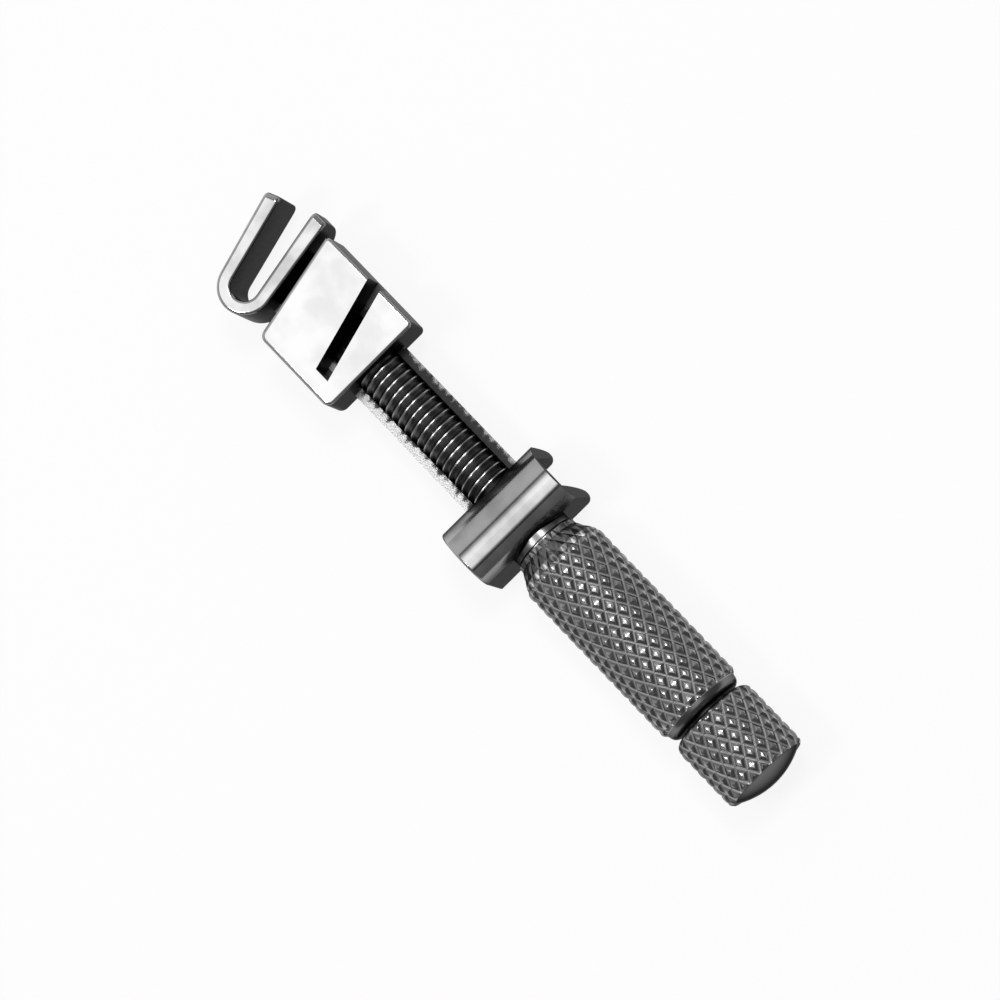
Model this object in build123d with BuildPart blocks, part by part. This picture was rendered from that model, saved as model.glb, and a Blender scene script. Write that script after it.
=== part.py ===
"""Matrix band retainer: a U-shaped head and a sliding vise that hold a thin band, worked by two knurled knobs."""

import os
from math import asin, cos, radians, sin, tan

from build123d import *

# Lengths in millimetres, angles in degrees. X runs along the tool from the head to the knobs, Y across it
# towards the open side of the head, Z from the back to the face. The tool lies on its back: the surface is at
# Z = 0, the spindle's axis runs above it along X, and X = 0 is half way along the tool.

# Spindle and its thread
spindle_r = 2.085
thread_fit = 0.045
guide_fit = 0.065
point_r = 0.3
nose_r = 1.35
nose_length = 1.3
shoulder_length = 0.7
point_to_slot_wall = 0.15

# Heights above the spindle's axis of the head's and the vise's faces
face_height = 3.7
back_depth = 2.65

# Head: a strip bent to a U, its arms leaning away from the vise
head_tip_x = -33.0
bend_from_tip = 4.35
bend_y = -3.0
bend_inner_r = 1.27
bend_outer_r = 2.5
far_arm_outer_lean = 16.0
far_arm_inner_lean = 14.6
near_arm_inner_lean = 10.6
near_arm_outer_lean = 8.7
far_arm_outer_y = 3.95
far_arm_inner_y = 4.5
near_arm_y = 5.75
arm_tip_round = 0.62
near_arm_back_round = 2.9
arm_edge_round = 0.28

# Rail: a dovetail bar with a half-round groove for the spindle
rail_half_width = 3.0
rail_back_half_width = 2.55
rail_edge_round = 0.18
slide_fit = 0.05

# Vise
vise_gap = 0.92
vise_length = 9.76
vise_half_width = 5.1
vise_lean = 11.7
vise_low_corner_round = 0.72
vise_corner_round = 0.42
vise_back_round = 1.5
vise_face_round = 0.32
slot_from_front = 5.6
slot_width = 1.45
slot_lean = 15.5
slot_end_y = -3.5
slot_floor = 0.0
counterbore_r = 2.45
counterbore_depth = 0.3

# Yoke: a channel across the tool, open at its ends and at the back
rail_free_length = 14.1
yoke_length = 6.1
yoke_crest = 4.05
yoke_back = 3.85
yoke_front_r = 3.75
flange = 1.45
web = 1.05
yoke_low_y = -5.85
yoke_face_y = 4.55
yoke_back_y = 5.25
yoke_edge_round = 0.22
yoke_ear_round = 0.62

# Adjusting knob, the long one
knob_r = 4.13
neck_r = 2.6
neck_fit = 0.05
collar_r = 2.85
collar_length = 1.2
end_play = 0.05
shoulder_r = 2.92
shoulder_thick = 0.42
ring_groove_r = 2.62
ring_groove = 0.22
knob_front_gap = 1.1
knob_front_r = 3.1
knob_taper = 1.75
adjusting_length = 19.35
knob_rear_round = 1.0

# Locking knob, the short one
knob_gap = 0.28
locking_length = 7.9
locking_r = 4.1
locking_front_round = 0.9
dome_height = 0.95
dome_edge_r = 3.55
hub_fit = 0.03
hub_cover = 2.2

spindle_z = knob_r
bend_x = head_tip_x + bend_from_tip


def plan(height):
    """The level plane at a height above the spindle's axis."""
    return Plane(origin=(0, 0, spindle_z + height), x_dir=(1, 0, 0), z_dir=(0, 0, 1))


def across(x):
    """The plane square to the tool at x, with Y and the height above the spindle's axis as its coordinates."""
    return Plane(origin=(x, 0, spindle_z), x_dir=(0, 1, 0), z_dir=(1, 0, 0))


def lengthwise(y):
    """The plane along the tool at y, with X and the height above the spindle's axis as its coordinates."""
    return Plane(origin=(0, y, spindle_z), x_dir=(1, 0, 0), z_dir=(0, -1, 0))


spindle_axis = Axis((0, 0, spindle_z), (1, 0, 0))


def leaning(x, lean, y):
    """X at y of a line that crosses the spindle's axis at x and leans towards the head."""
    return x - y * tan(radians(lean))


def arm_foot(side, radius, lean):
    """Where the straight edge of an arm meets the round of the bend, on side -1 or +1 of it."""
    return (bend_x + side * radius * cos(radians(lean)), bend_y + side * radius * sin(radians(lean)))


def arm_tip(side, radius, lean, tip_y):
    """Where the same straight edge ends, at tip_y."""
    foot_x, foot_y = arm_foot(side, radius, lean)
    return (leaning(foot_x, lean, tip_y - foot_y), tip_y)


def crosses_arm(edge):
    """Whether a straight edge of the head runs across an arm's end, from its outer to its inner wall."""
    return edge.geom_type == GeomType.LINE and abs((edge @ 1 - edge @ 0).X) > edge.length / 2


def stands_at_bend(edge):
    """Whether an edge of the head is an upright seam between an arm and the bend."""
    return abs((edge @ 1 - edge @ 0).Z) > edge.length / 2 and edge.center().Y < 0


# Places along the tool
near_arm_foot_x, near_arm_foot_y = arm_foot(1, bend_outer_r, near_arm_outer_lean)
near_arm_x = leaning(near_arm_foot_x, near_arm_outer_lean, -near_arm_foot_y)
vise_front_x = near_arm_x + vise_gap
vise_rear_x = vise_front_x + vise_length
slot_front_x = vise_front_x + slot_from_front
slot_rear_x = slot_front_x + slot_width / cos(radians(slot_lean))
yoke_x = vise_rear_x + rail_free_length
yoke_rear_x = yoke_x + yoke_length
neck_end_x = yoke_rear_x + end_play
adjusting_x = yoke_rear_x + knob_front_gap
adjusting_end_x = adjusting_x + adjusting_length
locking_x = adjusting_end_x + knob_gap
locking_end_x = locking_x + locking_length
spindle_tip_x = slot_front_x + point_to_slot_wall
spindle_end_x = locking_end_x - hub_cover

# Head: the bent strip, softened along its edges
with BuildPart() as head:
    with BuildSketch(plan(-back_depth)):
        with BuildLine():
            far_outer = (-1, bend_outer_r, far_arm_outer_lean)
            far_inner = (-1, bend_inner_r, far_arm_inner_lean)
            near_inner = (1, bend_inner_r, near_arm_inner_lean)
            near_outer = (1, bend_outer_r, near_arm_outer_lean)
            Line(arm_tip(*far_outer, far_arm_outer_y), arm_foot(*far_outer))
            ThreePointArc(arm_foot(*far_outer), (bend_x, bend_y - bend_outer_r), arm_foot(*near_outer))
            Line(arm_foot(*near_outer), arm_tip(*near_outer, near_arm_y))
            Line(arm_tip(*near_outer, near_arm_y), arm_tip(*near_inner, near_arm_y))
            Line(arm_tip(*near_inner, near_arm_y), arm_foot(*near_inner))
            ThreePointArc(arm_foot(*near_inner), (bend_x, bend_y - bend_inner_r), arm_foot(*far_inner))
            Line(arm_foot(*far_inner), arm_tip(*far_inner, far_arm_inner_y))
            Line(arm_tip(*far_inner, far_arm_inner_y), arm_tip(*far_outer, far_arm_outer_y))
        make_face()
    extrude(amount=face_height + back_depth)
    tip_edges = head.edges().filter_by(crosses_arm)
    near_back_edge = tip_edges.group_by(Axis.Z)[0].sort_by(Axis.Y)[-1]
    fillet(tip_edges.filter_by(lambda e: e != near_back_edge), arm_tip_round)
    fillet(head.edges().filter_by(crosses_arm).group_by(Axis.Z)[0].sort_by(Axis.Y)[-1], near_arm_back_round)
    fillet(head.edges().filter_by(lambda e: not crosses_arm(e) and not stands_at_bend(e)), arm_edge_round)

# Rail: it starts inside the near arm and ends inside the yoke's front flange
rail_start_x = bend_x + (bend_inner_r + bend_outer_r) / 2 - arm_edge_round
rail_groove_r = spindle_r + guide_fit
with BuildPart() as rail:
    with BuildSketch(across(rail_start_x)) as rail_section:
        with BuildLine():
            Polyline((-rail_groove_r, 0), (-rail_half_width, 0), (-rail_back_half_width, -back_depth),
                     (rail_back_half_width, -back_depth), (rail_half_width, 0), (rail_groove_r, 0))
            ThreePointArc((rail_groove_r, 0), (0, -rail_groove_r), (-rail_groove_r, 0))
        make_face()
        fillet(rail_section.vertices().filter_by(lambda v: abs(v.Y) > rail_back_half_width - slide_fit),
               radius=rail_edge_round)
    extrude(amount=yoke_x + flange / 2 - rail_start_x)

# Yoke: a channel with a crowned web, its rear flange slotted from the back for the knob's neck
with BuildPart() as yoke:
    with BuildSketch(lengthwise(yoke_back_y)):
        with BuildLine():
            front_turn_z = yoke_crest - yoke_front_r
            yoke_rear_r = yoke_length - yoke_front_r
            rear_turn_z = yoke_crest - yoke_rear_r
            crest_x = yoke_x + yoke_front_r
            half_turn = cos(radians(45))
            Line((yoke_x, -yoke_back), (yoke_x, front_turn_z))
            ThreePointArc((yoke_x, front_turn_z),
                          (crest_x - yoke_front_r * half_turn, front_turn_z + yoke_front_r * half_turn),
                          (crest_x, yoke_crest))
            ThreePointArc((crest_x, yoke_crest),
                          (crest_x + yoke_rear_r * half_turn, rear_turn_z + yoke_rear_r * half_turn),
                          (yoke_rear_x, rear_turn_z))
            Polyline((yoke_rear_x, rear_turn_z), (yoke_rear_x, -yoke_back), (yoke_rear_x - flange, -yoke_back),
                     (yoke_rear_x - flange, yoke_crest - web), (yoke_x + flange, yoke_crest - web),
                     (yoke_x + flange, -yoke_back), (yoke_x, -yoke_back))
        make_face()
    extrude(amount=yoke_back_y - yoke_low_y)
    # The flanges end in rounded ears on the open side
    for corner_x, inward, height in ((yoke_x, 1, yoke_crest), (yoke_x + flange, -1, yoke_crest - web),
                                     (yoke_rear_x - flange, 1, yoke_crest - web), (yoke_rear_x, -1, yoke_crest)):
        with BuildSketch(plan(-yoke_back)):
            with Locations((corner_x + inward * yoke_ear_round / 2, yoke_back_y - yoke_ear_round / 2)):
                Rectangle(yoke_ear_round, yoke_ear_round)
            with Locations((corner_x + inward * yoke_ear_round, yoke_back_y - yoke_ear_round)):
                Circle(yoke_ear_round, mode=Mode.SUBTRACT)
        extrude(amount=height + yoke_back, mode=Mode.SUBTRACT)
    # The end on the open side slopes, lowest at the crowned face
    with BuildSketch(across(yoke_x)):
        with BuildLine():
            Polyline((yoke_face_y, yoke_crest), (yoke_back_y, -yoke_back), (yoke_back_y, yoke_crest), close=True)
        make_face()
    extrude(amount=yoke_length, mode=Mode.SUBTRACT)
    low_end = yoke.faces().sort_by(Axis.Y)[0].edges()
    low_uprights = low_end.filter_by(Axis.Z).sort_by(Axis.X)
    fillet(low_end.filter_by(GeomType.CIRCLE) + low_uprights[0] + low_uprights[-1], yoke_edge_round)
    # Slot for the knob's neck in the rear flange
    neck_slot_r = neck_r + neck_fit
    with BuildSketch(across(yoke_rear_x - flange)):
        Circle(neck_slot_r)
        with Locations((0, -yoke_back)):
            Rectangle(2 * neck_slot_r, 2 * yoke_back)
    extrude(amount=flange, mode=Mode.SUBTRACT)

# Frame: head, rail and yoke are one casting, bored for the spindle at the yoke
with BuildPart() as frame:
    add(head.part)
    add(rail.part)
    add(yoke.part)
    with BuildSketch(across(yoke_x - flange)):
        Circle(rail_groove_r)
    extrude(amount=3 * flange, mode=Mode.SUBTRACT)

# Vise: a block that straddles the rail, with the diagonal slot that takes the ends of the band
with BuildPart() as vise:
    with BuildSketch(plan(-back_depth)) as vise_outline:
        with BuildLine():
            Polyline((leaning(vise_front_x, vise_lean, vise_half_width), vise_half_width),
                     (leaning(vise_front_x, vise_lean, -vise_half_width), -vise_half_width),
                     (vise_rear_x, -vise_half_width), (vise_rear_x, vise_half_width), close=True)
        make_face()
        fillet(vise_outline.vertices().group_by(Axis.Y)[-1], radius=vise_corner_round)
        fillet(vise_outline.vertices().group_by(Axis.Y)[0], radius=vise_low_corner_round)
    extrude(amount=face_height + back_depth)
    back_edges = vise.faces().sort_by(Axis.Z)[0].edges().filter_by(Axis.X)
    fillet(back_edges, vise_back_round)
    fillet(vise.faces().sort_by(Axis.Z)[-1].edges(), vise_face_round)
    # Dovetail channel over the rail
    with BuildSketch(across(vise_front_x - vise_length)):
        with BuildLine():
            Polyline((-rail_half_width - slide_fit, slide_fit), (rail_half_width + slide_fit, slide_fit),
                     (rail_back_half_width + slide_fit, -back_depth - slide_fit),
                     (-rail_back_half_width - slide_fit, -back_depth - slide_fit), close=True)
        make_face()
    extrude(amount=3 * vise_length, mode=Mode.SUBTRACT)
    # Diagonal slot, open at the face and on the open side
    with BuildSketch(plan(slot_floor - slide_fit)):
        with BuildLine():
            past_edge_y = vise_half_width + slot_width
            Polyline((leaning(slot_front_x, slot_lean, slot_end_y), slot_end_y),
                     (leaning(slot_rear_x, slot_lean, slot_end_y), slot_end_y),
                     (leaning(slot_rear_x, slot_lean, past_edge_y), past_edge_y),
                     (leaning(slot_front_x, slot_lean, past_edge_y), past_edge_y), close=True)
        make_face()
    extrude(amount=face_height + 2 * slide_fit, mode=Mode.SUBTRACT)
    # Threaded bore from the rear face to the slot, with its countersunk rim
    with BuildSketch(across(slot_front_x + slot_width / 2)):
        Circle(spindle_r + thread_fit)
    extrude(amount=vise_length, mode=Mode.SUBTRACT)
    with BuildSketch(across(vise_rear_x - counterbore_depth)):
        Circle(counterbore_r)
    extrude(amount=2 * counterbore_depth, mode=Mode.SUBTRACT)

# Spindle: a threaded rod with a turned nose and point
with BuildPart() as spindle:
    with BuildSketch(lengthwise(0)):
        with BuildLine():
            Polyline((spindle_tip_x, 0), (spindle_tip_x, point_r), (spindle_tip_x + nose_r - point_r, nose_r),
                     (spindle_tip_x + nose_length, nose_r), (spindle_tip_x + nose_length + shoulder_length, spindle_r),
                     (spindle_end_x, spindle_r), (spindle_end_x, 0), close=True)
        make_face()
    revolve(axis=spindle_axis)

# Adjusting knob: collar, neck and shoulder turned in one with the long grip
bore_r = spindle_r + thread_fit
with BuildPart() as adjusting_knob:
    with BuildSketch(lengthwise(0)) as adjusting_outline:
        collar_end_x = yoke_rear_x - flange - end_play
        shoulder_end_x = neck_end_x + shoulder_thick
        with BuildLine():
            Polyline((collar_end_x - collar_length, bore_r), (collar_end_x - collar_length, collar_r),
                     (collar_end_x, collar_r), (collar_end_x, neck_r), (neck_end_x, neck_r),
                     (neck_end_x, shoulder_r), (shoulder_end_x, shoulder_r), (shoulder_end_x, ring_groove_r),
                     (shoulder_end_x + ring_groove, ring_groove_r), (shoulder_end_x + ring_groove, knob_front_r),
                     (adjusting_x, knob_front_r), (adjusting_x + knob_taper, knob_r),
                     (adjusting_end_x, knob_r), (adjusting_end_x, bore_r), close=True)
        make_face()
        fillet(adjusting_outline.vertices().group_by(Axis.X)[-1].sort_by(Axis.Z)[-1], radius=knob_rear_round)
    revolve(axis=spindle_axis)

# Locking knob: the short grip with its domed end, closed over the end of the spindle
with BuildPart() as locking_knob:
    with BuildSketch(lengthwise(0)) as locking_outline:
        hub_r = spindle_r + hub_fit
        dome_r = (dome_edge_r**2 + dome_height**2) / (2 * dome_height)
        half_dome = asin(dome_edge_r / dome_r) / 2
        with BuildLine():
            Polyline((locking_x, hub_r), (locking_x, locking_r), (locking_end_x - dome_height, locking_r),
                     (locking_end_x - dome_height, dome_edge_r))
            ThreePointArc((locking_end_x - dome_height, dome_edge_r),
                          (locking_end_x - dome_r * (1 - cos(half_dome)), dome_r * sin(half_dome)),
                          (locking_end_x, 0))
            Polyline((locking_end_x, 0), (spindle_end_x + hub_fit, 0), (spindle_end_x + hub_fit, hub_r),
                     (locking_x, hub_r))
        make_face()
        fillet(locking_outline.vertices().filter_by(lambda v: abs(v.X - locking_x) < hub_fit).sort_by(Axis.Z)[-1],
               radius=locking_front_round)
    revolve(axis=spindle_axis)

os.makedirs("parts", exist_ok=True)
for name, piece in (("frame", frame), ("vise", vise), ("spindle", spindle),
                    ("adjusting_knob", adjusting_knob), ("locking_knob", locking_knob)):
    piece.part.label = name
    export_step(piece.part, f"parts/{name}.step")
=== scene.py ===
"""Looks of the matrix band retainer: lapped steel frame and vise, threaded spindle, two knurled knobs."""
from math import cos, exp, pi, radians, sin, sqrt

import bmesh
import bpy
from mathutils import Matrix, Vector


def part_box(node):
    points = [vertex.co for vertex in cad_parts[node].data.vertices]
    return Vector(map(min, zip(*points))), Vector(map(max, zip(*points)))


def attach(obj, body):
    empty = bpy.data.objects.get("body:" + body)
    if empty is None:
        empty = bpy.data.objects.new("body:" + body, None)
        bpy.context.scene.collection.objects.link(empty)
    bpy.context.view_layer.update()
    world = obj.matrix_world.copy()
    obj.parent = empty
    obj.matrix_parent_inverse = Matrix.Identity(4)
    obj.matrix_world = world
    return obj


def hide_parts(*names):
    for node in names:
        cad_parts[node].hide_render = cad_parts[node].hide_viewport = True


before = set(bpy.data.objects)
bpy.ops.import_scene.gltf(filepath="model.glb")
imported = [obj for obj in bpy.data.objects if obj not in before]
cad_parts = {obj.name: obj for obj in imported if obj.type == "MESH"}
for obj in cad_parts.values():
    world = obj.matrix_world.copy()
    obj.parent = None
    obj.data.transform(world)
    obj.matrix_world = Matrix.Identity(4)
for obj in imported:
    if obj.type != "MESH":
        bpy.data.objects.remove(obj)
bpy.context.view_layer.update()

# Lengths are in millimetres, and this turns them into the frame's metres
MM = 0.001

# Places and sizes read from the frame
knob_low, knob_high = (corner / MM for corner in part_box("adjusting_knob"))
lock_low, lock_high = (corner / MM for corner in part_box("locking_knob"))
rod_low, rod_high = (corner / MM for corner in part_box("spindle"))
axis_z = (knob_low.z + knob_high.z) / 2
rod_r = (rod_high.z - rod_low.z) / 2
grip_r = (knob_high.z - knob_low.z) / 2
lock_r = (lock_high.z - lock_low.z) / 2

# Lapped steel with painted shade on its sides, and the blasted rail
SIDE_ROUGH = 0.27
LAPPED_ROUGH = 0.11
BLASTED_ROUGH = 0.38
# Up-facing surfaces below these heights, in recesses, get the sides' painted shade
LIT_LAPPED_FROM_TO = (0.6, 2.6)  # heights above the axis between which a side turns into a face
RAIL_FLAT_WITHIN = 0.05  # how near the axis' height the rail's flats lie

# Painted shadow of the thread on the rail beside it
THREAD_SHADOW_REACH = (1.48, 2.05)  # least reach from the axis, on the closed and on the open side
THREAD_SHADOW_TEETH = 0.6  # how much the thread's teeth shift the painted shadow's edge
THREAD_SHADOW_PATCHES = 1.5  # the same for uneven patches along the shadow's edge
THREAD_SHADOW_GRAIN = 1.6  # the same for the blasting's grain

# Skins of spindle and knobs
JOIN_WITHIN = 0.0002
SHARP_FROM = 18  # degrees

# Spindle
POINT_R = 0.3
NOSE_R = 1.35
NOSE_LENGTH = 1.3
SHOULDER_LENGTH = 0.7
THREAD_FROM = 0.35  # share of the shoulder at which the thread starts
THREAD_END = 13.0  # X in the frame

# Thread
THREAD_PITCH = 0.794
THREAD_DEPTH = 0.43
THREAD_FLANK = 0.43  # from the middle of a root to the crest, as a share of the pitch
ROOT_WIDTH = 0.09  # rounding of the root, as a share of the pitch
ROOT_FILL = 0.12  # share of the depth that the rounding fills
THREAD_ROWS = 16  # of the skin in a pitch
THREAD_COLUMNS = 64

# Diamond knurl
KNURL_STARTS = 20  # of each of its two families of grooves
KNURL_REPEAT = 1.88  # along the grip
KNURL_DEPTH = 0.32
KNURL_FLANK = 0.36  # from the middle of a groove to the flat top, as a share of the repeat
KNURL_STEPS = 12  # of the skin in a repeat
KNURL_FADE = 4  # power by which the knurl gets shallower where the grip is thinner
KNURL_COLUMNS = KNURL_STARTS * KNURL_STEPS

# Long knob, from the collar to the rim
BORE_GAP = 0.045
COLLAR_R = 2.85
COLLAR_LENGTH = 1.2
NECK_R = 2.6
NECK_LENGTH = 1.55
SHOULDER_R = 2.92
SHOULDER_THICK = 0.42
RING_GROOVE_R = 2.62
RING_GROOVE = 0.22
FRONT_R = 3.1
FRONT_LENGTH = 0.41
FRONT_TAPER = 1.75
PLAIN_RIM = 0.85
RIM_STEP = 0.05
RIM_ROUND = 0.7
ARC_STEPS = 6

# Short knob, from the rounded front to the dome
HUB_GAP = 0.03
LOCK_FRONT_ROUND = 0.9
LOCK_ROUND_ROWS = (0.03, 0.12, 0.25, 0.45, 0.7, 1.0)  # places of the skin's rows, as shares of the round
LOCK_SLANT = 0.3  # length of the slant that ends the knurl before the dome
LOCK_RIM_STEP = 0.05
DOME_HEIGHT = 0.95
DOME_EDGE_R = 3.55
DOME_STEPS = 8

# Floor
FLOOR_HALF = 600
CARD_GLOW = 0.88  # share of the card's own white in what the camera and the metal see of it

# Light tent
TENT_ROOF_FROM_TO = (0.86, 0.95)  # sines of the elevation between which the roof brightens
TENT_ROOF = 1.12  # strength that the roof adds
TENT_SIDES = (0.6, 0.16)  # strengths towards the head and towards the knobs
TENT_SIDES_FROM_TO = (-0.8, 0.2)  # X of the directions between which the sides change
TENT_SEAM_IN = (0.76, 0.79)  # sines between which the seam darkens
TENT_SEAM_OUT = (0.82, 0.86)  # sines between which it clears again
TENT_SEAM_DARK = 0.8  # share of the sides' light that the seam takes

# Soft boxes
LAMPS_MIDDLE = (-60, -20, 330)
LAMPS_APART = 130  # from their middle to each of them, across the tool
LAMP_SIDE = 70
LAMP_POWER = 0.3  # watts

# Camera
CAMERA_DISTANCE = 400.0
CAMERA_WAY = (0.2, 0.09, 1.0)  # direction from the tool to the camera
CAMERA_ROLL = 0.7885  # radians
CAMERA_TARGET = (-0.574, -0.234, 0.0)  # Z from the axis
PIXELS_PER_MM = 11.81
IMAGE_SIDE = 1000  # pixels
SENSOR = 36.0


def linear(hex_colour):
    """An sRGB hex colour as linear RGBA."""
    parts = [int(hex_colour[i:i + 2], 16) / 255 for i in (1, 3, 5)]
    return tuple(c / 12.92 if c <= 0.04045 else ((c + 0.055) / 1.055) ** 2.4 for c in parts) + (1.0,)


def add_node(tree, kind, settings=None, links=None):
    """Adds a node, sets its attributes or sockets by name, and links its inputs to other nodes' outputs."""
    node = tree.nodes.new(kind)
    for key, value in (settings or {}).items():
        if isinstance(key, int) or key in node.inputs:
            node.inputs[key].default_value = value
        else:
            setattr(node, key, value)
    for key, source in (links or {}).items():
        tree.links.new(source, node.inputs[key])
    return node


def new_material(name):
    """An empty node material, its node tree and its output node."""
    material = bpy.data.materials.new(name)
    material.use_nodes = True
    material.node_tree.nodes.clear()
    return material, material.node_tree, add_node(material.node_tree, "ShaderNodeOutputMaterial")


def maths(tree, operation, first, second=0.0, third=0.0):
    """One sum on sockets or plain numbers, clamped between 0 and 1 where it says so."""
    node = tree.nodes.new("ShaderNodeMath")
    node.operation = operation.removesuffix(" CLAMPED")
    node.use_clamp = operation.endswith(" CLAMPED")
    for slot, value in enumerate((first, second, third)):
        if isinstance(value, (int, float)):
            node.inputs[slot].default_value = value
        else:
            tree.links.new(value, node.inputs[slot])
    return node.outputs[0]


def ramp(tree, value, start, end, low=0.0, high=1.0):
    """A value moved smoothly from low at start to high at end."""
    settings = {"interpolation_type": "SMOOTHSTEP",
                "From Min": start, "From Max": end, "To Min": low, "To Max": high}
    return add_node(tree, "ShaderNodeMapRange", settings, {"Value": value}).outputs[0]


def mixed(tree, share, first, second):
    """A colour between two, each an sRGB hex colour or a socket."""
    node = add_node(tree, "ShaderNodeMix", {"data_type": "RGBA"}, {0: share})
    for slot, value in ((6, first), (7, second)):
        if isinstance(value, str):
            node.inputs[slot].default_value = linear(value)
        else:
            tree.links.new(value, node.inputs[slot])
    return node.outputs[2]


def noise(tree, place, size, detail=3.0, stretch=(1, 1, 1)):
    """Noise with patches of about a size in millimetres."""
    along = add_node(tree, "ShaderNodeMapping", {"Scale": stretch}, {"Vector": place}).outputs[0]
    settings = {"Scale": 1 / (size * MM), "Detail": detail}
    return add_node(tree, "ShaderNodeTexNoise", settings, {"Vector": along}).outputs["Fac"]


def surface_places(tree):
    """Place as one socket and as X, Y and Z, height above the axis in millimetres, and the normal."""
    coordinates = add_node(tree, "ShaderNodeTexCoord")
    place = coordinates.outputs["Object"]
    split = add_node(tree, "ShaderNodeSeparateXYZ", {}, {"Vector": place}).outputs
    normal = add_node(tree, "ShaderNodeSeparateXYZ", {}, {"Vector": coordinates.outputs["Normal"]}).outputs
    height = maths(tree, "MULTIPLY_ADD", split["Z"], 1 / MM, -axis_z)
    return place, split, height, normal


def finish_steel(tree, output, colour, roughness, glancing, relief, strength, distance):
    """Bare metal with a colour, a roughness, a tint for glancing reflections and a fine relief."""
    settings = {"Strength": strength, "Distance": distance * MM}
    bump = add_node(tree, "ShaderNodeBump", settings, {"Height": relief}).outputs[0]
    links = {"Base Color": colour, "Roughness": roughness, "Specular Tint": glancing, "Normal": bump}
    shine = add_node(tree, "ShaderNodeBsdfPrincipled", {"Metallic": 1.0}, links)
    tree.links.new(shine.outputs[0], output.inputs["Surface"])


def rail_colour(tree, place, split, grain):
    """Colour of the rail's blasted flats: pale speckle, with the thread's shadow painted near black beside
    it, toothed by its teeth.
    """
    from_axis = maths(tree, "ABSOLUTE", maths(tree, "MULTIPLY", split["Y"], 1 / MM))
    teeth = maths(tree, "PINGPONG", maths(tree, "MULTIPLY", split["X"], 1 / (THREAD_PITCH * MM)), 0.5)
    patches = noise(tree, place, size=1.3, detail=2.0)
    open_side = ramp(tree, split["Y"], start=-MM, end=MM)
    least = maths(tree, "MULTIPLY_ADD", open_side, THREAD_SHADOW_REACH[1] - THREAD_SHADOW_REACH[0], THREAD_SHADOW_REACH[0])
    shadow_to = maths(tree, "MULTIPLY_ADD", patches, THREAD_SHADOW_PATCHES, least)
    reach = maths(tree, "MULTIPLY_ADD", teeth, THREAD_SHADOW_TEETH, shadow_to)
    beyond = maths(tree, "SUBTRACT", from_axis, reach)
    out_of_shadow = ramp(tree, maths(tree, "MULTIPLY_ADD", grain, THREAD_SHADOW_GRAIN, beyond), start=0.66, end=0.94)
    pale = mixed(tree, open_side, "#d2d2d2", "#8a8a8a")
    speckle = mixed(tree, ramp(tree, grain, start=0.4, end=0.6), "#767676", pale)
    # Painted shadow of the thread: near black where the rail lies within its toothed reach
    return mixed(tree, out_of_shadow, "#2a2a2a", speckle)


def lapped_steel_painted_shade(name, bright, dull, rail=False):
    """Stainless steel, lapped on its faces and left rougher on its sides and in its recesses, which get
    painted
    shade: a darker colour.

    The eye gets bright faces with soft clouds of handling between two greys, walls in painted shade whose
    glancing reflections are tinted dark as painted shade too, and on a rail's flats the blasted finish with
    the thread's painted shadow.
    """
    material, tree, output = new_material(name)
    place, split, height, normal = surface_places(tree)
    # Faces turned up and high above the axis keep the bright colour; sides and low floors in recesses get
    # painted shade
    facing_up = ramp(tree, normal["Z"], start=0.3, end=0.97)
    lapped = maths(tree, "MULTIPLY", facing_up, ramp(tree, height, *LIT_LAPPED_FROM_TO))
    cloud = noise(tree, place, size=3.2)
    grain = noise(tree, place, size=0.07)
    # Painted shade: the darker greys of the sides and recesses
    side = mixed(tree, ramp(tree, grain, start=0.3, end=0.7), "#626262", "#7c7c7c")
    face = mixed(tree, ramp(tree, cloud, start=0.35, end=0.7), bright, dull)
    colour = mixed(tree, lapped, side, face)
    roughness = maths(tree, "MULTIPLY_ADD", lapped, LAPPED_ROUGH - SIDE_ROUGH, SIDE_ROUGH)
    if rail:
        at_axis = maths(tree, "LESS_THAN", maths(tree, "ABSOLUTE", height), RAIL_FLAT_WITHIN)
        flats = maths(tree, "MULTIPLY", ramp(tree, normal["Z"], start=0.9, end=0.99), at_axis)
        colour = mixed(tree, flats, colour, rail_colour(tree, place, split, grain))
        roughness = maths(tree, "MAXIMUM", roughness, maths(tree, "MULTIPLY", flats, BLASTED_ROUGH))
    scratches = noise(tree, place, size=0.05, detail=2.0, stretch=(0.25, 1, 1))
    waves = noise(tree, place, size=5.0, detail=1.0)
    relief = maths(tree, "MULTIPLY_ADD", waves, 9.0, scratches)
    # Painted shade in reflections: glancing reflections are tinted darker on the sides and in recesses
    glancing = mixed(tree, lapped, "#808080", "#ffffff")
    finish_steel(tree, output, colour, roughness, glancing, relief, strength=0.14, distance=0.006)
    return material


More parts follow.
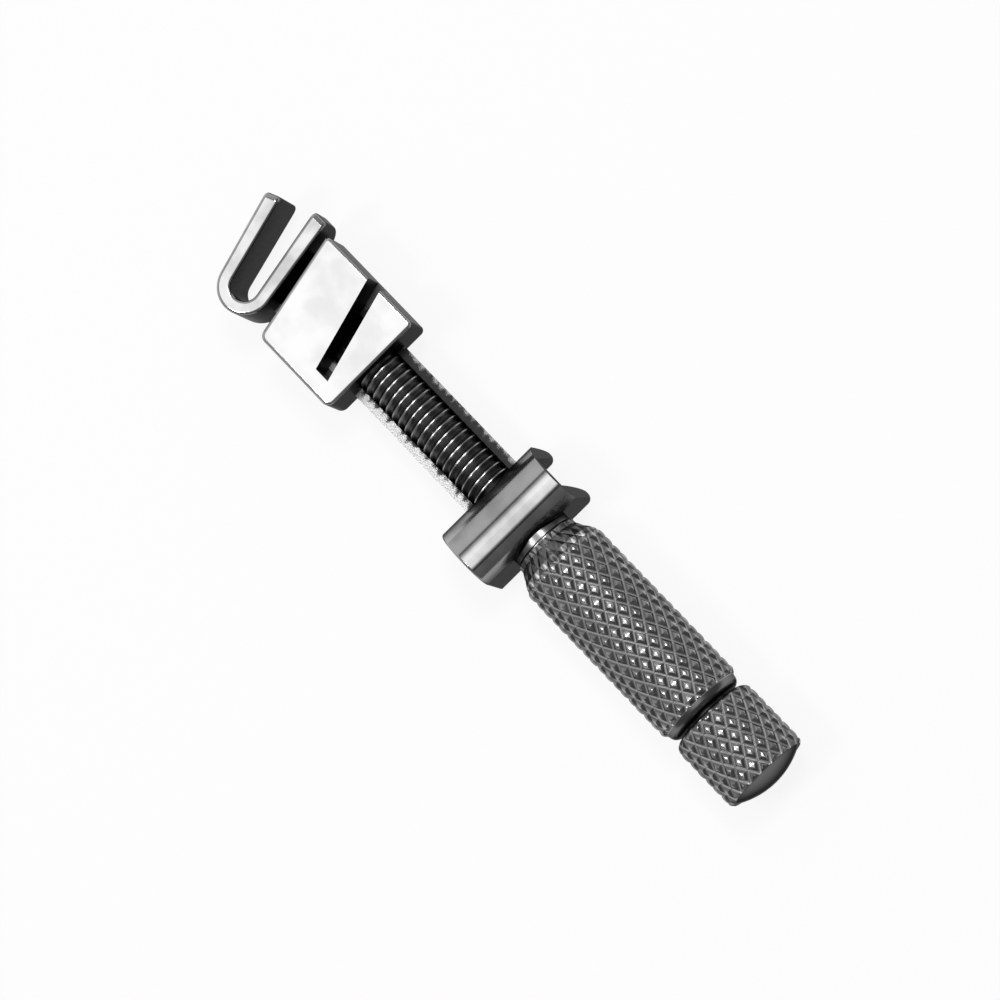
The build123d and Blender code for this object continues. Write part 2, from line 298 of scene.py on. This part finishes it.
def turned_steel(name, root_r, crest_r, root, flank, crest, roughness):
    """Stainless steel with a cut or rolled pattern, its flanks darker than its crests and its end faces
    darkened as painted shade.

    The eye gets crests with a painted highlight, which handling has also worn smoother, and in the roots a
    painted line: a painted highlight on the knurl and painted shade in the thread.
    """
    material, tree, output = new_material(name)
    place, split, height, normal = surface_places(tree)
    width = maths(tree, "MULTIPLY", split["Y"], 1 / MM)
    squares = maths(tree, "MULTIPLY_ADD", height, height, maths(tree, "MULTIPLY", width, width))
    from_axis = maths(tree, "SQRT", squares)
    depth = crest_r - root_r
    # Painted highlight: crests coloured bright, and also made smoother by wear
    crest_highlight_and_wear = ramp(tree, from_axis, start=crest_r - 0.55 * depth, end=crest_r - 0.05 * depth)
    below_flank = ramp(tree, from_axis, root_r + 0.05 * depth, root_r + 0.4 * depth, low=1.0, high=0.0)
    # Painted line in the roots, in the root colour: a highlight on the knurl, shade in the thread
    painted_root_line = maths(tree, "MULTIPLY", ramp(tree, from_axis, root_r - 0.03, root_r), below_flank)
    # Painted shade on faces that turn along the axis, such as ends, tapers and the dome
    end_painted_shade = ramp(tree, maths(tree, "ABSOLUTE", normal["X"]), start=0.4, end=0.62)
    cloud = noise(tree, place, size=1.6, detail=4.0)
    grain = noise(tree, place, size=0.09)
    tops = mixed(tree, ramp(tree, cloud, start=0.3, end=0.7), crest, "#9a9a9a")
    colour = mixed(tree, crest_highlight_and_wear, mixed(tree, painted_root_line, flank, root), tops)
    colour = mixed(tree, end_painted_shade, colour, "#6e6e6e")
    below = maths(tree, "MULTIPLY_ADD", painted_root_line, 0.14, roughness + 0.08)
    rough = maths(tree, "MULTIPLY_ADD", crest_highlight_and_wear, -0.08, below)
    # Painted shade in reflections: glancing reflections tinted darker on those faces
    glancing = mixed(tree, end_painted_shade, "#a0a0a0", "#707070")
    finish_steel(tree, output, colour, rough, glancing, grain, strength=0.25, distance=0.008)
    return material


def turned_skin(name, rows, body, node, material, closed=False, leans_back=None):
    """A turned or threaded skin about the spindle's axis, which stands for a CAD node.

    Each row is a list of (x, r) points in millimetres, evenly spaced round a full turn, its last at the same
    angle as its first. A closed skin joins its last row to its first. leans_back(x, turn) says which way the
    diagonal of the square there runs.
    """
    mesh = bmesh.new()
    columns = len(rows[0]) - 1
    grid = []
    for row in rows:
        ring = []
        for column, (x, r) in enumerate(row):
            turn = 2 * pi * (column % columns) / columns
            ring.append(mesh.verts.new((x * MM, r * cos(turn) * MM, (axis_z + r * sin(turn)) * MM)))
        grid.append(ring)
    pairs = list(zip(range(len(grid) - 1), range(1, len(grid))))
    if closed:
        pairs.append((len(grid) - 1, 0))
    for low, high in pairs:
        for column in range(columns):
            a, b = grid[low][column], grid[high][column]
            c, d = grid[high][column + 1], grid[low][column + 1]
            x = (rows[low][column][0] + rows[high][column][0]) / 2
            turn = 2 * pi * (column + 0.5) / columns
            if leans_back and leans_back(x, turn):
                mesh.faces.new((a, b, d))
                mesh.faces.new((b, c, d))
            else:
                mesh.faces.new((a, b, c))
                mesh.faces.new((a, c, d))
    bmesh.ops.remove_doubles(mesh, verts=mesh.verts, dist=JOIN_WITHIN * MM)
    bmesh.ops.recalc_face_normals(mesh, faces=mesh.faces)
    data = bpy.data.meshes.new(name)
    mesh.to_mesh(data)
    mesh.free()
    data.materials.append(material)
    data.shade_smooth()
    data.set_sharp_from_angle(angle=radians(SHARP_FROM))
    piece = bpy.data.objects.new(name, data)
    bpy.context.scene.collection.objects.link(piece)
    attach(piece, body)
    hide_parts(node)
    return piece


def plain_rows(points, columns):
    """Rows of a turned skin with no pattern, from (x, r) points."""
    return [[point] * (columns + 1) for point in points]


def thread_drop(phase):
    """Depth of the thread at a phase of its pitch: a V groove with a rounded root and a narrow flat crest."""
    from_root = abs(phase - round(phase))
    flank = min(1, from_root / THREAD_FLANK)
    return THREAD_DEPTH * (1 - flank) * (1 - ROOT_FILL * exp(-(from_root / ROOT_WIDTH) ** 2))


def spindle_rows():
    """Rows of the spindle: point, nose and shoulder, the thread along its helix, and the plain shank.

    A row of the thread follows the helix, so it gains a pitch in its turn. Rows therefore start a pitch
    early, and what lies before the thread's start or past its end is drawn in to that place.
    """
    columns = THREAD_COLUMNS
    tip_x = rod_low.x
    thread_x = tip_x + NOSE_LENGTH + SHOULDER_LENGTH * THREAD_FROM
    points = [(tip_x, 0), (tip_x, POINT_R), (tip_x + NOSE_R - POINT_R, NOSE_R), (tip_x + NOSE_LENGTH, NOSE_R)]
    rows = plain_rows(points, columns)
    turns_needed = int((THREAD_END - thread_x) / THREAD_PITCH) + 2
    for step in range(-THREAD_ROWS, turns_needed * THREAD_ROWS):
        row = []
        for column in range(columns + 1):
            x = thread_x + THREAD_PITCH * (step / THREAD_ROWS + column / columns)
            x = min(max(x, thread_x), THREAD_END)
            phase = (x - thread_x) / THREAD_PITCH - column / columns
            cone = NOSE_R + (x - tip_x - NOSE_LENGTH) * (rod_r - NOSE_R) / SHOULDER_LENGTH
            run_out = min(1, (THREAD_END - x) / THREAD_PITCH)
            row.append((x, min(cone, rod_r - thread_drop(phase) * run_out)))
        rows.append(row)
    return rows + plain_rows([(rod_high.x, rod_r), (rod_high.x, 0)], columns)


def knurl_distances(x, turn):
    """How far a place on the grip lies from the nearest groove of each family, as a share of the repeat."""
    along = x / KNURL_REPEAT
    around = KNURL_STARTS * turn / (2 * pi)
    first = abs(along + around - round(along + around))
    second = abs(along - around - round(along - around))
    return first, second


def knurl_drop(x, turn):
    """Depth of the knurl at a place on the grip: flat-topped pyramids between two families of V grooves."""
    return KNURL_DEPTH * (1 - min(1, min(knurl_distances(x, turn)) / KNURL_FLANK))


def first_family_nearer(x, turn):
    """Whether the nearest groove belongs to the first family, whose X falls as it goes round."""
    first, second = knurl_distances(x, turn)
    return first < second


def knurled_rows(low_x, high_x, full_r, blank_r, breaks=()):
    """Rows of a knurled grip from low_x to high_x, with a row at each break.

    The knurl is pressed into full_r(x), and blank_r(x) cuts it off at the ends of the grip.
    """
    step = KNURL_REPEAT / KNURL_STEPS
    places = [step * k for k in range(int(low_x / step) + 1, int(high_x / step) + 1)]
    places = [x for x in places if all(abs(x - b) > step / 4 for b in (low_x, high_x, *breaks))]
    turns = [2 * pi * (column % KNURL_COLUMNS) / KNURL_COLUMNS for column in range(KNURL_COLUMNS + 1)]
    rows = []
    for x in sorted([low_x, high_x, *breaks, *places]):
        pressed = (full_r(x) / grip_r) ** KNURL_FADE
        rows.append([(x, min(blank_r(x), full_r(x) - pressed * knurl_drop(x, turn))) for turn in turns])
    return rows


def rim_arc(end_x, edge_r):
    """The rounded rim at a grip's end, from its outer edge to the end face."""
    angles = [pi / 2 * k / ARC_STEPS for k in range(ARC_STEPS + 1)]
    return [(end_x - RIM_ROUND * (1 - sin(angle)), edge_r - RIM_ROUND * (1 - cos(angle))) for angle in angles]


def long_knob_rows():
    """Rows once round the long knob's section: collar, neck, shoulder, ring groove, knurled grip and rim."""
    bore_r = rod_r + BORE_GAP
    collar_end = knob_low.x + COLLAR_LENGTH
    neck_end = collar_end + NECK_LENGTH
    shoulder_end = neck_end + SHOULDER_THICK
    ring_end = shoulder_end + RING_GROOVE
    taper_x = ring_end + FRONT_LENGTH
    rim_x = knob_high.x - PLAIN_RIM
    rim_r = grip_r - KNURL_DEPTH - RIM_STEP

    def full_r(x):
        """Radius of the grip before knurling: a plain front, a taper, then straight."""
        return FRONT_R + (grip_r - FRONT_R) * min(1, max(0, x - taper_x) / FRONT_TAPER)

    def blank_r(x):
        """The turned blank, which cuts the knurl off at a slant before the rim."""
        return grip_r - max(0, x - (rim_x - KNURL_DEPTH))

    front = [(knob_low.x, bore_r), (knob_low.x, COLLAR_R), (collar_end, COLLAR_R), (collar_end, NECK_R),
             (neck_end, NECK_R), (neck_end, SHOULDER_R), (shoulder_end, SHOULDER_R),
             (shoulder_end, RING_GROOVE_R), (ring_end, RING_GROOVE_R)]
    grip = knurled_rows(ring_end, rim_x, full_r, blank_r, (taper_x, taper_x + FRONT_TAPER))
    rear = [*rim_arc(knob_high.x, rim_r), (knob_high.x, bore_r)]
    return plain_rows(front, KNURL_COLUMNS) + grip + plain_rows(rear, KNURL_COLUMNS)


def short_knob_rows():
    """Rows once round the short knob's section: rounded front, knurled grip, dome and the rod's hollow."""
    hub_r = rod_r + HUB_GAP
    hub_x = rod_high.x + HUB_GAP
    dome_r = (DOME_EDGE_R ** 2 + DOME_HEIGHT ** 2) / (2 * DOME_HEIGHT)
    dome_x = lock_high.x - DOME_HEIGHT
    rim_r = lock_r - LOCK_SLANT - LOCK_RIM_STEP

    def blank_r(x):
        """The turned blank: rounded at the front, and cutting the knurl off at a slant before the dome."""
        into_round = max(0, LOCK_FRONT_ROUND - (x - lock_low.x))
        front_edge = lock_r - LOCK_FRONT_ROUND + sqrt(LOCK_FRONT_ROUND ** 2 - into_round ** 2)
        return min(front_edge, lock_r - max(0, x - (dome_x - LOCK_SLANT)))

    breaks = [lock_low.x + LOCK_FRONT_ROUND * share for share in LOCK_ROUND_ROWS]
    grip = knurled_rows(lock_low.x, dome_x, lambda x: lock_r, blank_r, breaks)
    dome_steps = [DOME_EDGE_R * (1 - k / DOME_STEPS) for k in range(DOME_STEPS + 1)]
    dome = [(lock_high.x - dome_r + sqrt(dome_r ** 2 - r ** 2), r) for r in dome_steps]
    hollow = [(hub_x, 0), (hub_x, hub_r), (lock_low.x, hub_r)]
    return grip + plain_rows([(dome_x, rim_r), *dome, *hollow], KNURL_COLUMNS)


def card():
    """White matt card: camera and metal see it bright, and the tool's soft shadow lies faintly on it."""
    material, tree, output = new_material("white matt card")
    ray = add_node(tree, "ShaderNodeLightPath").outputs
    mirrored = maths(tree, "ADD", ray["Is Glossy Ray"], ray["Is Transmission Ray"])
    seen = maths(tree, "ADD", ray["Is Camera Ray"], mirrored)
    paper = add_node(tree, "ShaderNodeBsdfDiffuse", {"Color": linear("#fafafa")})
    glow = add_node(tree, "ShaderNodeEmission", {"Color": linear("#ffffff"), "Strength": 1.0})
    share = maths(tree, "MULTIPLY CLAMPED", seen, CARD_GLOW)
    mix = add_node(tree, "ShaderNodeMixShader", {}, {0: share, 1: paper.outputs[0], 2: glow.outputs[0]})
    tree.links.new(mix.outputs[0], output.inputs["Surface"])
    return material


def lay_floor():
    """The square sheet of card that the tool lies on."""
    half = FLOOR_HALF * MM
    data = bpy.data.meshes.new("floor")
    corners = [(-half, -half, 0), (half, -half, 0), (half, half, 0), (-half, half, 0)]
    data.from_pydata(corners, [], [(0, 1, 2, 3)])
    data.materials.append(card())
    sheet = bpy.data.objects.new("floor", data)
    bpy.context.scene.collection.objects.link(sheet)


def soft_box(name, place):
    """A square soft box lamp at a place in millimetres, aimed at the frame's origin under the tool."""
    lamp = bpy.data.lights.new(name, "AREA")
    lamp.shape = "SQUARE"
    lamp.size = LAMP_SIDE * MM
    lamp.energy = LAMP_POWER
    holder = bpy.data.objects.new(name, lamp)
    holder.location = Vector(place) * MM
    holder.rotation_euler = (-Vector(place)).to_track_quat("-Z", "Y").to_euler()
    bpy.context.scene.collection.objects.link(holder)


def set_world():
    """A light tent: bright overhead, grey towards the head's end of the tool and dark towards the knobs' end.

    A darker seam runs all round, between the sides and the roof.
    """
    world = bpy.data.worlds.new("light tent")
    bpy.context.scene.world = world
    world.use_nodes = True
    tree = world.node_tree
    way = add_node(tree, "ShaderNodeTexCoord").outputs["Generated"]
    split = add_node(tree, "ShaderNodeSeparateXYZ", {}, {"Vector": way})
    rise = split.outputs["Z"]
    sides = ramp(tree, split.outputs["X"], *TENT_SIDES_FROM_TO, *TENT_SIDES)
    seam = maths(tree, "SUBTRACT", ramp(tree, rise, *TENT_SEAM_IN), ramp(tree, rise, *TENT_SEAM_OUT))
    sides = maths(tree, "MULTIPLY", sides, maths(tree, "MULTIPLY_ADD", seam, -TENT_SEAM_DARK, 1.0))
    level = maths(tree, "ADD", sides, ramp(tree, rise, *TENT_ROOF_FROM_TO, low=0, high=TENT_ROOF))
    tree.links.new(level, tree.nodes["Background"].inputs["Strength"])
    tree.nodes["Background"].inputs["Color"].default_value = linear("#ffffff")


def set_camera():
    """A long lens far off at the photograph's angle, turned so that the tool runs corner to corner."""
    back = Vector(CAMERA_WAY).normalized()
    right = Vector((0, 1, 0)).cross(back).normalized()
    up = back.cross(right)
    turned_right = cos(CAMERA_ROLL) * right + sin(CAMERA_ROLL) * up
    turned_up = cos(CAMERA_ROLL) * up - sin(CAMERA_ROLL) * right
    target = Vector(CAMERA_TARGET) + Vector((0, 0, axis_z))
    lens = bpy.data.cameras.new("camera")
    lens.sensor_width = SENSOR
    lens.lens = PIXELS_PER_MM * CAMERA_DISTANCE / IMAGE_SIDE * SENSOR
    lens.clip_start = MM
    camera = bpy.data.objects.new("camera", lens)
    place = (target + back * CAMERA_DISTANCE) * MM
    basis = Matrix((turned_right, turned_up, back)).transposed().to_4x4()
    camera.matrix_world = Matrix.Translation(place) @ basis
    bpy.context.scene.collection.objects.link(camera)
    bpy.context.scene.camera = camera


# Frame and vise: the CAD's own solids in lapped steel, with painted shade on sides and in recesses
rail_steel = lapped_steel_painted_shade("lapped stainless steel, rail blasted", "#cccccc", "#aeaeae", rail=True)
vise_steel = lapped_steel_painted_shade("stainless steel lapped, painted shade on sides", "#d6d6d6", "#c8c8c8")
for node, steel in (("frame", rail_steel), ("vise", vise_steel)):
    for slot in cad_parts[node].material_slots:
        slot.material = steel

# Spindle
# Painted shade in the thread's roots, and a faint painted highlight on its crests
threaded = turned_steel("stainless steel thread with painted shade and highlights", rod_r - THREAD_DEPTH, rod_r,
                        root="#4a4a4a", flank="#8c8c8c", crest="#9a9a9a", roughness=0.3)
spindle = turned_skin("threaded_spindle", spindle_rows(), "spindle", "spindle", threaded)

# Knobs
# Painted highlights on the knurl: a pale line in its roots and pale flat tops
knurled = turned_steel("diamond knurl rolled in stainless steel", grip_r - KNURL_DEPTH, grip_r,
                       root="#bcbcbc", flank="#787878", crest="#bcbcbc", roughness=0.2)
long_knob = turned_skin("long_knurled_knob", long_knob_rows(), "adjusting_knob", "adjusting_knob", knurled,
                        closed=True, leans_back=first_family_nearer)
short_knob = turned_skin("short_knurled_knob", short_knob_rows(), "locking_knob", "locking_knob", knurled,
                         closed=True, leans_back=first_family_nearer)

# Floor, world, lamps and camera
lay_floor()
set_world()
for side in (-1, 1):
    soft_box(f"lamp {side}", Vector(LAMPS_MIDDLE) + Vector((0, side * LAMPS_APART, 0)))
set_camera()
bpy.context.scene.view_settings.view_transform = "Standard"
